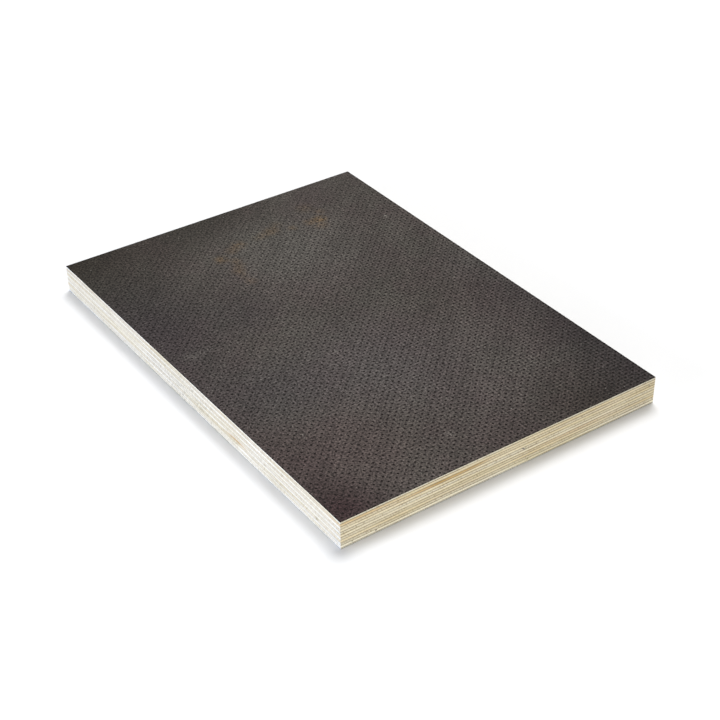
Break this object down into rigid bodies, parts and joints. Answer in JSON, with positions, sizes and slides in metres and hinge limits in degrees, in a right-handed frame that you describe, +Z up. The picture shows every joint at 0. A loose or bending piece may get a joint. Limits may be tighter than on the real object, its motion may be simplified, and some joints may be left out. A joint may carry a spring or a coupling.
{
  "type": "plywood sheet",
  "caption": "Rectangular film-faced plywood sheet with a wire-mesh anti-slip imprint on its upper face, a smooth underside and raw sawn edges that show the crossed veneers.",
  "frame": {"origin": "middle of the underside", "axes": "+X across the sheet, +Y along its length, +Z up out of the embossed face"},
  "size_m": [0.21, 0.297, 0.0174],
  "materials": {
    "embossed_film": "dark brown phenolic film, satin, wire-mesh imprint",
    "long_veneer": "raw sawn birch veneer, grain along the sheet",
    "cross_veneer": "raw sawn birch veneer, grain across the sheet",
    "smooth_film": "dark brown phenolic film, smooth satin"
  },
  "bodies": {
    "root": {"film_top": "embossed_film", "ply_01_long": "long_veneer", "ply_02_cross": "cross_veneer", "ply_03_long": "long_veneer", "ply_04_cross": "cross_veneer", "ply_05_long": "long_veneer", "ply_06_cross": "cross_veneer", "ply_07_long": "long_veneer", "ply_08_cross": "cross_veneer", "ply_09_long": "long_veneer", "ply_10_cross": "cross_veneer", "ply_11_long": "long_veneer", "film_bottom": "smooth_film"}
  },
  "joints": []
}
